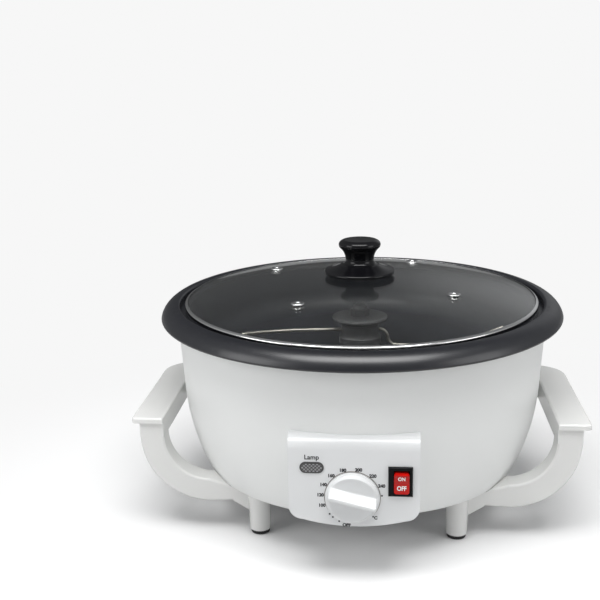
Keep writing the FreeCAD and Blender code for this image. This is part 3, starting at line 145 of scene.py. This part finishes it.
class Shader(Nodes):
    """A material round one Principled BSDF, in the object's own coordinates."""

    def __init__(self, name):
        self.mat = bpy.data.materials.new(name)
        self.mat.use_nodes = True
        super().__init__(self.mat.node_tree)
        self.bsdf = self.tree.nodes["Principled BSDF"]
        self.surface = self.tree.nodes["Material Output"].inputs["Surface"]
        self.coord = self.node("ShaderNodeTexCoord").outputs["Object"]

    def give(self, **sources):
        """Feed the shader's own sockets; an underscore stands for a space."""
        for key, source in sources.items():
            self.feed(self.bsdf.inputs[key.replace("_", " ")], source)

    def noise(self, scale, detail=3.0, rough=0.5, stretch=None):
        made = self.node("ShaderNodeTexNoise", Scale=scale, Detail=detail, Roughness=rough)
        place = self.coord
        if stretch:
            mapping = self.node("ShaderNodeMapping", Scale=stretch)
            self.feed(mapping.inputs["Vector"], place)
            place = mapping.outputs["Vector"]
        self.feed(made.inputs["Vector"], place)
        return made.outputs["Fac"]

    def ramp(self, source, stops):
        made = self.node("ShaderNodeValToRGB")
        for element, (place, colour) in zip(made.color_ramp.elements, stops):
            element.position = place
            element.color = (*colour, 1.0)
        self.feed(made.inputs["Fac"], source)
        return made.outputs["Color"]

    def tones(self, source, colour, share, start, end):
        """The colour varied by a share of itself, darker at start and lighter at end."""
        dark = tuple(c * (1.0 - share) for c in colour)
        light = tuple(min(1.0, c * (1.0 + share)) for c in colour)
        return self.ramp(source, [(start, dark), (end, light)])

    def blend(self, factor, one, two, how="MIX"):
        made = self.node("ShaderNodeMix", data_type="RGBA", blend_type=how)
        self.feed(made.inputs[MIX_FACTOR], factor)
        self.feed(made.inputs[MIX_A], one)
        self.feed(made.inputs[MIX_B], two)
        return made.outputs[MIX_RESULT]

    def bump(self, source, strength, distance):
        made = self.node("ShaderNodeBump", Strength=strength, Distance=distance)
        self.feed(made.inputs["Height"], source)
        self.give(Normal=made.outputs["Normal"])


# ---- kinds of material --------------------------------------------------------------
def moulded(name, colour, rough, grain=900.0, depth=0.02, coat=0.0, mottle=0.03, gloss=0.5):
    """Moulded plastic: faint grain, depth in mm, a slow change of tone, uneven gloss."""
    s = Shader(name)
    s.give(Base_Color=s.tones(s.noise(14.0, 2.0), colour, mottle, 0.3, 0.7),
           Roughness=s.spread(s.noise(60.0), rough * 0.85, rough * 1.15, 0.0, 1.0),
           Coat_Weight=coat, Coat_Roughness=0.08, Specular_IOR_Level=gloss)
    s.bump(s.noise(grain, 2.0), 0.25, depth * MM)
    return s.mat


def metal(name, colour, rough, tone=0.10):
    """Rolled or turned metal: fine lines along one direction."""
    s = Shader(name)
    lines = s.noise(180.0, 4.0, 0.6, stretch=(1.0, 1.0, 30.0))
    s.give(Base_Color=s.tones(lines, colour, tone, 0.25, 0.75),
           Roughness=s.spread(lines, rough * 0.7, rough * 1.3), Metallic=1.0)
    s.bump(lines, 0.2, 0.01 * MM)
    return s.mat


RIM_TURN = 6 * MM


def nonstick(name):
    """Matt black non-stick coating with fine pale specks, duller in the bowl than on the rim."""
    s = Shader(name)
    cells = s.node("ShaderNodeTexVoronoi", Scale=900.0)
    s.feed(cells.inputs["Vector"], s.coord)
    dots = s.ramp(cells.outputs["Distance"], [(0.10, WHITE), (0.22, BLACK)])
    some = s.ramp(s.noise(150.0, 1.0), [(0.50, BLACK), (0.56, WHITE)])
    specks = s.blend(1.0, dots, some, "MULTIPLY")
    reach = s.vectors("DISTANCE", s.vectors("MULTIPLY", s.coord, (1, 1, 0)), (AXIS.x, AXIS.y, 0))
    dull = s.spread(reach, 0.15, 0.0, BAND_R - RIM_TURN, BAND_R)
    coating = s.spread(s.noise(90.0), 0.29, 0.35, 0.0, 1.0)
    s.give(Base_Color=s.blend(specks, (0.0062, 0.0068, 0.0100, 1), (0.05, 0.05, 0.055, 1)),
           Roughness=s.maths("ADD", coating, dull),
           Specular_IOR_Level=s.spread(reach, 0.35, 0.70, BAND_R - RIM_TURN, BAND_R))
    s.bump(s.noise(1300.0, 2.0), 0.5, 0.06 * MM)
    return s.mat


def glass(name, tint):
    """Clear glass that lets light through to what it covers."""
    s = Shader(name)
    s.give(Base_Color=(*tint, 1.0), IOR=1.5, Transmission_Weight=1.0,
           Roughness=s.spread(s.noise(9.0), 0.0, 0.012))
    clear = s.node("ShaderNodeBsdfTransparent", Color=(*tint, 1.0))
    s.feed(s.surface, s.either(s.ray("Shadow"), s.bsdf.outputs[0], clear.outputs[0]))
    return s.mat


def printed(name, colour):
    """Screen-printed ink: slightly broken by its own grain."""
    s = Shader(name)
    light = tuple(min(1.0, c * 1.25 + 0.01) for c in colour)
    s.give(Base_Color=s.ramp(s.noise(2500.0, 1.0), [(0.35, colour), (0.75, light)]), Roughness=0.5)
    return s.mat


HATCH_PITCH = 2.7 * MM
LENS_RIM = 1.3 * MM


def lens(name):
    """Dark smoked lens: a fine diamond hatch inside a plain rim; the hatch is bumped as real ribs, and its
    crests are painted light as a painted highlight.
    """
    s = Shader(name)
    low, high = corners("lamp_lens")
    half_w = (high.x - low.x) / 2
    half_h = (high.z - low.z) / 2
    place = s.split(s.vectors("SUBTRACT", s.coord, LAMP))
    sideways = place["X"]
    up = place["Z"]
    past_flat = s.maths("MAXIMUM", s.maths("SUBTRACT", s.maths("ABSOLUTE", sideways), half_w - half_h), 0.0)
    squares = s.maths("ADD", s.maths("MULTIPLY", past_flat, past_flat), s.maths("MULTIPLY", up, up))
    inside = s.maths("LESS_THAN", s.maths("SQRT", squares), half_h - LENS_RIM)
    stripes = []
    for slant in (-1.0, 1.0):
        along = s.maths("ADD", sideways, s.maths("MULTIPLY", up, slant))
        wave = s.maths("SINE", s.maths("MULTIPLY", along, math.pi / HATCH_PITCH))
        stripes.append(s.maths("ABSOLUTE", wave))
    hatch = s.maths("MULTIPLY", inside, s.maths("MULTIPLY", *stripes))
    # The hatch's crests are painted light grey: a painted highlight on the ribs. The bump below gives the
    # ribs their real relief.
    s.give(Base_Color=s.ramp(hatch, [(0.10, (0.045, 0.044, 0.044)), (0.85, (0.34, 0.34, 0.35))]),
           Roughness=0.28, Coat_Weight=0.4, Coat_Roughness=0.1)
    s.bump(hatch, 0.4, 0.15 * MM)
    return s.mat


# ---- the roaster's materials --------------------------------------------------------
MOULDED = {
    "shell_white": dict(colour=(0.82, 0.83, 0.82), rough=0.36, grain=500.0, depth=0.03, mottle=0.015),
    "moulded_white": dict(colour=(0.77, 0.77, 0.755), rough=0.22, grain=700.0, depth=0.01, coat=0.5),
    # panel_white: the handles' white moulding painted a little darker, as painted shade for the panel's
    # front and the dial.
    "panel_white": dict(colour=(0.72, 0.73, 0.735), rough=0.30, grain=700.0, depth=0.01, mottle=0.008,
                        gloss=0.8),
    "knob_black": dict(colour=(0.004, 0.004, 0.005), rough=0.13, grain=300.0, depth=0.002, mottle=0.15,
                       gloss=0.28),
    "stirrer_black": dict(colour=(0.055, 0.055, 0.058), rough=0.38, grain=800.0, mottle=0.15),
    "silicone_grey": dict(colour=(0.35, 0.35, 0.36), rough=0.6),
    "gear_nylon": dict(colour=(0.76, 0.74, 0.66), rough=0.45),
    "ferrite": dict(colour=(0.06, 0.06, 0.065), rough=0.55, grain=600.0, depth=0.05),
    "switch_black": dict(colour=(0.005, 0.005, 0.006), rough=0.30, mottle=0.15, gloss=0.10),
    "rocker_red": dict(colour=(0.48, 0.006, 0.004), rough=0.24, grain=700.0, depth=0.01, gloss=0.3),
    "pad_rubber": dict(colour=(0.014, 0.014, 0.014), rough=0.65, grain=500.0, depth=0.06, mottle=0.15),
    "porcelain": dict(colour=(0.80, 0.79, 0.75), rough=0.25, grain=300.0, depth=0.01, coat=0.4),
}
METALS = {
    "sheet_steel": dict(colour=(0.50, 0.50, 0.51), rough=0.42),
    "zinc_steel": dict(colour=(0.62, 0.63, 0.65), rough=0.30),
    "stainless": dict(colour=(0.78, 0.78, 0.78), rough=0.16, tone=0.05),
    # Darker, warmer copy of the wire steel for the stirrer's arms: painted shade for their place down in
    # the pan under the lid.
    "shaded_arm_wire": dict(colour=(0.36, 0.34, 0.31), rough=0.34, tone=0.05),
    "bronze": dict(colour=(0.60, 0.42, 0.24), rough=0.32),
    "copper": dict(colour=(0.72, 0.36, 0.20), rough=0.28),
    "element_sheath": dict(colour=(0.26, 0.24, 0.23), rough=0.48),
    "reflector_alloy": dict(colour=(0.80, 0.81, 0.82), rough=0.30),
    "brass_nut": dict(colour=(0.78, 0.60, 0.30), rough=0.26),
}
MATERIALS = {
    **{name: moulded(name, **look) for name, look in MOULDED.items()},
    **{name: metal(name, **look) for name, look in METALS.items()},
    "nonstick_black": nonstick("nonstick_black"),
    "tempered_glass": glass("tempered_glass", (0.91, 0.92, 0.905)),
    "lamp_glass": glass("lamp_glass", (0.95, 0.85, 0.78)),
    "lamp_dark": lens("lamp_dark"),
}
INK = printed("ink_black", (0.012, 0.012, 0.014))
INK_WHITE = printed("ink_white", (0.86, 0.86, 0.85))
# The brown below is not print. It is a painted shadow: the dark ring of shade on the panel round the dial's
# foot.
PAINTED_SHADOW_BROWN = printed("painted_shadow_brown", (0.13, 0.10, 0.08))

# The stirrer's arms take the copy of the steel with painted shade on it.
OWN_MATERIAL = {"stirrer_arm_long": "shaded_arm_wire", "stirrer_arm_short": "shaded_arm_wire",
                # The panel and dial take that darker white, which carries painted shade.
                "control_panel": "panel_white", "thermostat_knob": "panel_white"}


def clothe():
    """Every node takes its slot's material, or its own where it has one."""
    for part in frame["record"]["subparts"]:
        node = part["node"]
        slots = frame["nodes"][node].data.materials
        slots.clear()
        slots.append(MATERIALS[OWN_MATERIAL.get(node, part["material_slot"])])


clothe()


# ---- making pieces ------------------------------------------------------------------
def add_piece(name, mesh, material, body):
    """Put a mesh in the scene as a piece that rides on a body."""
    piece = bpy.data.objects.new(name, mesh)
    bpy.context.scene.collection.objects.link(piece)
    mesh.materials.clear()
    mesh.materials.append(material)
    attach(piece, body)
    return piece


def skin(name, rings, looped, smooth=True):
    """Mesh of rings of points, each joined to the next; the ends are joined or capped."""
    bm = bmesh.new()
    rows = [[bm.verts.new(point) for point in ring] for ring in rings]
    for one, two in zip(rows, rows[1:] + (rows[:1] if looped else [])):
        for k in range(len(one)):
            m = (k + 1) % len(one)
            bm.faces.new((one[k], one[m], two[m], two[k])).smooth = smooth
    if not looped:
        bm.faces.new(rows[0]).smooth = smooth
        bm.faces.new(rows[-1])
    bmesh.ops.recalc_face_normals(bm, faces=bm.faces)
    mesh = bpy.data.meshes.new(name)
    bm.to_mesh(mesh)
    bm.free()
    return mesh


def circle(radius, steps):
    """Points round a circle as (across, along), from the first axis to the second."""
    turns = [2 * math.pi * k / steps for k in range(steps)]
    return [(radius * math.cos(turn), radius * math.sin(turn)) for turn in turns]


# ---- lid band -----------------------------------------------------------------------
# Rolled edge, from the band's outside over the crest: mm inward of it, mm below the top.
BAND_CURL = [(0.0, 1.9), (0.05, 1.45), (0.22, 1.10), (0.52, 0.86), (0.95, 0.62), (1.5, 0.36), (2.0, 0.12),
             (2.2, 0.04), (2.34, 0.05), (2.4, 0.16), (2.36, 0.28), (1.9, 0.42), (0.9, 0.86), (0.8, 1.2)]
BAND_WALL = 0.8 * MM
BAND_EASE = 0.2 * MM
BAND_CHAMFER = 0.15 * MM
BAND_STEPS = 360


def rolled_band():
    """The lid's steel band with its rolled edge, as smooth as spinning makes it."""
    foot = BAND_LOW.z
    inner = BAND_R - BAND_WALL
    profile = [(BAND_R, foot + BAND_CHAMFER)]
    profile += [(BAND_R - inward * MM, BAND_HIGH.z - down * MM) for inward, down in BAND_CURL]
    profile += [(inner, foot + BAND_CHAMFER), (inner + BAND_EASE, foot), (BAND_R - BAND_EASE, foot)]
    rings = [[(AXIS.x + r * across, AXIS.y + r * along, z) for r, z in profile]
             for across, along in circle(1.0, BAND_STEPS)]
    mesh = skin("rolled_band", rings, looped=True)
    band = add_piece("rolled_band", mesh, MATERIALS["stainless"], "lid")
    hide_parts("lid_band")


# ---- dial: sizes in mm --------------------------------------------------------------
DIAL_TILT = 14.0
DIAL_STEPS = 240
RIDGE_HEIGHT = 11.4
RIDGE_HALF = 5.6
RIDGE_CREST = 0.7
HOLLOW_HEIGHT = 3.0
BODY_R = 17.6
BODY_EDGE_HEIGHT = 5.6
HOLLOW_CURVE = 1.6
RING_PITCH = 0.5
FACE_RINGS = 33
# Rounding of the body's edge: radius, drop below the face.
EDGE_EASE = [(16.9, 0.04), (17.3, 0.2), (17.52, 0.5), (17.62, 1.0)]
# Tapered wall and skirt down to the dial's back: radius, height above it.
SKIRT = [(18.55, 2.4), (18.66, 2.12), (18.9, 2.0), (19.5, 1.85), (19.72, 1.6), (19.8, 1.2), (19.8, 0.0)]


def face_height(across):
    """Height of the dial's face this far from the ridge's line: a ridge between two hollows."""
    side = abs(across)
    if side < RIDGE_HALF:
        t = max(0.0, min(1.0, (side - RIDGE_CREST) / (RIDGE_HALF - RIDGE_CREST)))
        return RIDGE_HEIGHT - (RIDGE_HEIGHT - HOLLOW_HEIGHT) * t * t * (3 - 2 * t)
    outward = (side - RIDGE_HALF) / (BODY_R - RIDGE_HALF)
    return HOLLOW_HEIGHT + (BODY_EDGE_HEIGHT - HOLLOW_HEIGHT) * outward ** HOLLOW_CURVE


def dial_cap():
    """The dial turned and hollowed: the ridge that the fingers hold, wall and skirt."""
    back = corners("thermostat_knob")[1].y
    tilt = math.radians(DIAL_TILT)

    def ring(radius, height_at):
        points = []
        for x, z in circle(radius, DIAL_STEPS):
            across = x * math.sin(tilt) + z * math.cos(tilt)
            points.append((DIAL.x + x * MM, back - height_at(across) * MM, DIAL.z + z * MM))
        return points

    rings = [ring(k * RING_PITCH, face_height) for k in range(1, FACE_RINGS + 1)]
    rings += [ring(radius, lambda v, d=drop: face_height(v) - d) for radius, drop in EDGE_EASE]
    rings += [ring(radius, lambda v, h=height: h) for radius, height in SKIRT]
    mesh = skin("dial_cap", rings, looped=False)
    # The dial takes the panel's darker white, which carries painted shade.
    cap = add_piece("dial_cap", mesh, MATERIALS["panel_white"], "dial")
    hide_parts("thermostat_knob")


# ---- printed marks and the painted shadow round the dial ----------------------------
SIZE_PER_CAP = 1.38
TYPE_HALF_DEPTH = 0.04
INK_LIFT = 0.02 * MM
DOT_DEPTH = 0.05 * MM


def glyphs(name, text, height, bold):
    """Mesh of a line of type, cap height in mm, centred on the origin and facing +Z."""
    curve = bpy.data.curves.new(name, "FONT")
    curve.body = text
    curve.size = height * SIZE_PER_CAP
    curve.align_x = "CENTER"
    curve.align_y = "CENTER"
    curve.offset = bold
    curve.extrude = TYPE_HALF_DEPTH
    helper = bpy.data.objects.new(name + "_curve", curve)
    bpy.context.scene.collection.objects.link(helper)
    mesh = bpy.data.meshes.new_from_object(helper)
    bpy.data.objects.remove(helper)
    mesh.transform(Matrix.Scale(MM, 4))
    return mesh


def letters(name, text, height, material, body, place, bold, tilt_deg=0.0, narrow=1.0):
    """Type on a front face: place is its middle, tilt leans its top forward."""
    mesh = glyphs(name, text, height, bold)
    stand = Matrix.Rotation(math.radians(90 + tilt_deg), 4, "X") @ Matrix.Diagonal((narrow, 1, 1, 1))
    mesh.transform(Matrix.Translation(place) @ stand)
    add_piece(name, mesh, material, body)


def disc(name, place, radius, material, inner=0.0, steps=48):
    """Printed dot on the panel, or, where an inner radius is given, a ring: the painted shadow round the
    dial's foot.
    """
    profile = [(radius, 0.0), (radius, DOT_DEPTH)]
    if inner:
        profile = [(inner, 0.0), *profile, (inner, DOT_DEPTH)]
    rings = [[(place.x + x, place.y - depth, place.z + z) for x, z in circle(r, steps)]
             for r, depth in profile]
    add_piece(name, skin(name, rings, looped=bool(inner), smooth=False), material, "housing")


# Clock angles round the dial, in degrees from the top.
FIGURES = [("100", 253.0), ("120", 273.5), ("140", 294.5), ("160", 317.5), ("180", 342.0),
           ("200", 12.0), ("220", 41.0), ("240", 66.0)]
WORDS = [("OFF", 191.0), ("°C", 134.5)]
DOTS = [85.0, 207.0, 222.0, 231.0]

# Reaches from the dial's middle and sizes of the marks, in mm.
FIGURE_REACH = 23.3
FIGURE_SQUASH = 1.3
OFF_EXTRA = 0.5
FIGURE_CAP = 2.45
DOT_REACH = 21.4
DOT_R = 0.7
# Radii of the painted shadow: a thin dark band just outside the dial's skirt, where the dial's shade falls.
SHADOW_RING_R = 20.45
SHADOW_RING_INNER_R = 20.05
LAMP_WORD_CAP = 3.6
LAMP_WORD_RISE = 7.7


def dial_point(reach, turn_deg):
    """Point on the panel at a clock angle round the dial, reach in mm."""
    turn = math.radians(turn_deg)
    across = reach * MM * math.sin(turn)
    up = reach * MM * math.cos(turn)
    return Vector((DIAL.x + across, FACE_Y - INK_LIFT, DIAL.z + up))


def dial_scale():
    """Temperature figures, words and dots round the dial, and a ring of painted shadow at its foot."""
    for text, turn in FIGURES + WORDS:
        reach = FIGURE_REACH - FIGURE_SQUASH * math.cos(math.radians(turn)) ** 2
        if text == "OFF":
            reach += OFF_EXTRA
        name = "print_" + text.replace("°", "deg_")
        letters(name, text, FIGURE_CAP, INK, "housing", dial_point(reach, turn), bold=0.2)
    for k, turn in enumerate(DOTS):
        disc("dot_%d" % k, dial_point(DOT_REACH, turn), DOT_R * MM, INK)
    # Painted shadow: a brown ring on the panel round the dial's foot, standing in for the dial's shade.
    disc("dial_shadow_ring", dial_point(0, 0), SHADOW_RING_R * MM, PAINTED_SHADOW_BROWN, inner=SHADOW_RING_INNER_R * MM, steps=96)


def lamp_word():
    """The word over the lamp's lens."""
    place = Vector((LAMP.x, FACE_Y - INK_LIFT, LAMP.z + LAMP_WORD_RISE * MM))
    letters("print_lamp", "Lamp", LAMP_WORD_CAP, INK, "housing", place, bold=0.13)


# Rocker: lean at rest in degrees, slope of each half as rise over run, and where its
# word sits from the pivot, in mm.
ROCKER_REST = 8.0
HALF_RISE = 1.6
HALF_RUN = 7.8
WORD_OUT = 5.98
WORD_UP = 3.9
WORD_SHIFT = 0.4
WORD_CAP = 3.4


def rocker_words():
    """ON and OFF on the rocker's two halves, which slope away from each other."""
    pivot = joint_place("rocker_tilt")
    pivot.x = middle("switch_rocker").x
    slope = math.degrees(math.atan2(HALF_RISE, HALF_RUN))
    lean = Matrix.Rotation(math.radians(ROCKER_REST), 3, "X")
    for text, side, narrow in (("ON", 1, 0.72), ("OFF", -1, 0.82)):
        on_face = Vector((0, -WORD_OUT, side * WORD_UP + WORD_SHIFT)) * MM
        letters("print_rocker_" + text, text, WORD_CAP, INK_WHITE, "rocker", pivot + lean @ on_face,
                bold=0.12, tilt_deg=ROCKER_REST + side * slope, narrow=narrow)


rolled_band()
dial_cap()
dial_scale()
rocker_words()
lamp_word()


# ---- set: floor, room, lamps, camera ------------------------------------------------
BACKDROP = 0.93
FLOOR_PALE = [(0.3, (0.86, 0.86, 0.86)), (0.7, (0.88, 0.88, 0.88))]
FLOOR_BOUNCE = (0.58, 0.58, 0.58, 1)
FLOOR_FADE = (0.13, 0.50)
ROOM_TINT = (0.97, 0.985, 1.0, 1)
ROOM_FRONT = 0.17
ROOM_SIDES = 0.26
ROOM_ABOVE = 0.25
ROOM_BEHIND = 0.30
WINDOW = 0.38
WINDOW_WAY = Vector((0.35, 0.90, 0.27)).normalized()
WINDOW_TIGHTNESS = 24.0


def stage():
    """Pale floor that fades into the backdrop away from the object."""
    bpy.ops.mesh.primitive_plane_add(size=12, location=(0, 0, 0))
    floor = bpy.context.object
    floor.name = "floor"
    s = Shader("floor_pale")
    camera_ray = s.ray("Camera")
    s.give(Base_Color=s.blend(camera_ray, FLOOR_BOUNCE, s.ramp(s.noise(2.0), FLOOR_PALE)),
           Roughness=0.8, Specular_IOR_Level=0.2)
    fade = s.spread(s.vectors("LENGTH", s.coord), 0.0, 1.0, *FLOOR_FADE, easing="SMOOTHSTEP")
    glow = s.node("ShaderNodeEmission", Color=(*WHITE, 1), Strength=BACKDROP)
    seen = s.maths("MULTIPLY", fade, camera_ray)
    s.feed(s.surface, s.either(seen, s.bsdf.outputs[0], glow.outputs[0]))
    floor.data.materials.append(s.mat)


def room():
    """Soft studio, dimmer behind but for one window; the camera sees the plain backdrop."""
    world = bpy.data.worlds.new("studio")
    bpy.context.scene.world = world
    world.use_nodes = True
    n = Nodes(world.node_tree)
    way = n.node("ShaderNodeTexCoord").outputs["Generated"]
    axes = n.split(way)
    behind = n.spread(axes["Y"], 1.0, ROOM_BEHIND, -0.1, 0.75, easing="SMOOTHSTEP")
    sides = n.maths("MULTIPLY", n.maths("POWER", n.maths("ABSOLUTE", axes["X"]), 1.5), ROOM_SIDES)
    above = n.maths("MULTIPLY", n.maths("MAXIMUM", axes["Z"], 0.0), ROOM_ABOVE)
    front = n.maths("MULTIPLY", n.maths("ADD", above, ROOM_FRONT), behind)
    facing = n.maths("MAXIMUM", n.vectors("DOT_PRODUCT", way, WINDOW_WAY), 0.0)
    window = n.maths("MULTIPLY", n.maths("POWER", facing, WINDOW_TIGHTNESS), WINDOW)
    level = n.maths("ADD", n.maths("ADD", sides, front), window)
    light = n.tree.nodes["Background"]
    n.feed_all(light, ROOM_TINT, level)
    backdrop = n.node("ShaderNodeBackground", Color=(*WHITE, 1), Strength=BACKDROP)
    seen = n.either(n.ray("Camera"), light.outputs[0], backdrop.outputs[0])
    n.feed(n.tree.nodes["World Output"].inputs["Surface"], seen)


# Softboxes: place, what they face, width, depth where it differs, and watts.
LAMPS = {
    "left": ((-1.5, -0.9, 0.8), (0, 0, 0.10), 1.0, None, 9),
    "right": ((1.6, -0.7, 0.7), (0, 0, 0.10), 1.0, None, 6),
    "overhead": ((0.0, -0.45, 1.5), (0, -0.1, 0.1), 1.4, 0.75, 24),
}


def lamps():
    for name, (place, target, width, depth, watts) in LAMPS.items():
        light = bpy.data.lights.new(name, "AREA")
        light.energy = watts
        light.size = width
        if depth:
            light.shape = "RECTANGLE"
            light.size_y = depth
        lamp = bpy.data.objects.new(name, light)
        bpy.context.scene.collection.objects.link(lamp)
        lamp.location = place
        lamp.rotation_euler = (Vector(target) - Vector(place)).to_track_quat("-Z", "Y").to_euler()


# The photo's camera: its axes before the turn round the roaster, its distance from the
# pan's axis, its height, and its focal length in pixels of the frame's width.
CAMERA_RIGHT = (0.99804, 0.05936, -0.01979)
CAMERA_UP = (0.00407, 0.25401, 0.96719)
CAMERA_BACK = (0.06244, -0.96538, 0.25327)
CAMERA_TURN = 1.8
CAMERA_DISTANCE = 0.79313
CAMERA_HEIGHT = 0.38223
FOCAL_PIXELS = 957.0
FRAME_PIXELS = 600.0
SENSOR = 36.0


def camera():
    turn = Matrix.Rotation(math.radians(CAMERA_TURN), 3, "Z")
    place = turn @ Vector((0, -CAMERA_DISTANCE, 0)) + Vector((0, AXIS.y, CAMERA_HEIGHT))
    axes = turn @ Matrix((CAMERA_RIGHT, CAMERA_UP, CAMERA_BACK)).transposed()
    optics = bpy.data.cameras.new("view")
    optics.sensor_width = SENSOR
    optics.lens = FOCAL_PIXELS / FRAME_PIXELS * SENSOR
    optics.clip_start = 10 * MM
    view = bpy.data.objects.new("view", optics)
    bpy.context.scene.collection.objects.link(view)
    view.matrix_world = Matrix.Translation(place) @ axes.to_4x4()
    bpy.context.scene.camera = view


stage()
room()
lamps()
camera()

bpy.context.scene.view_settings.view_transform = "Standard"
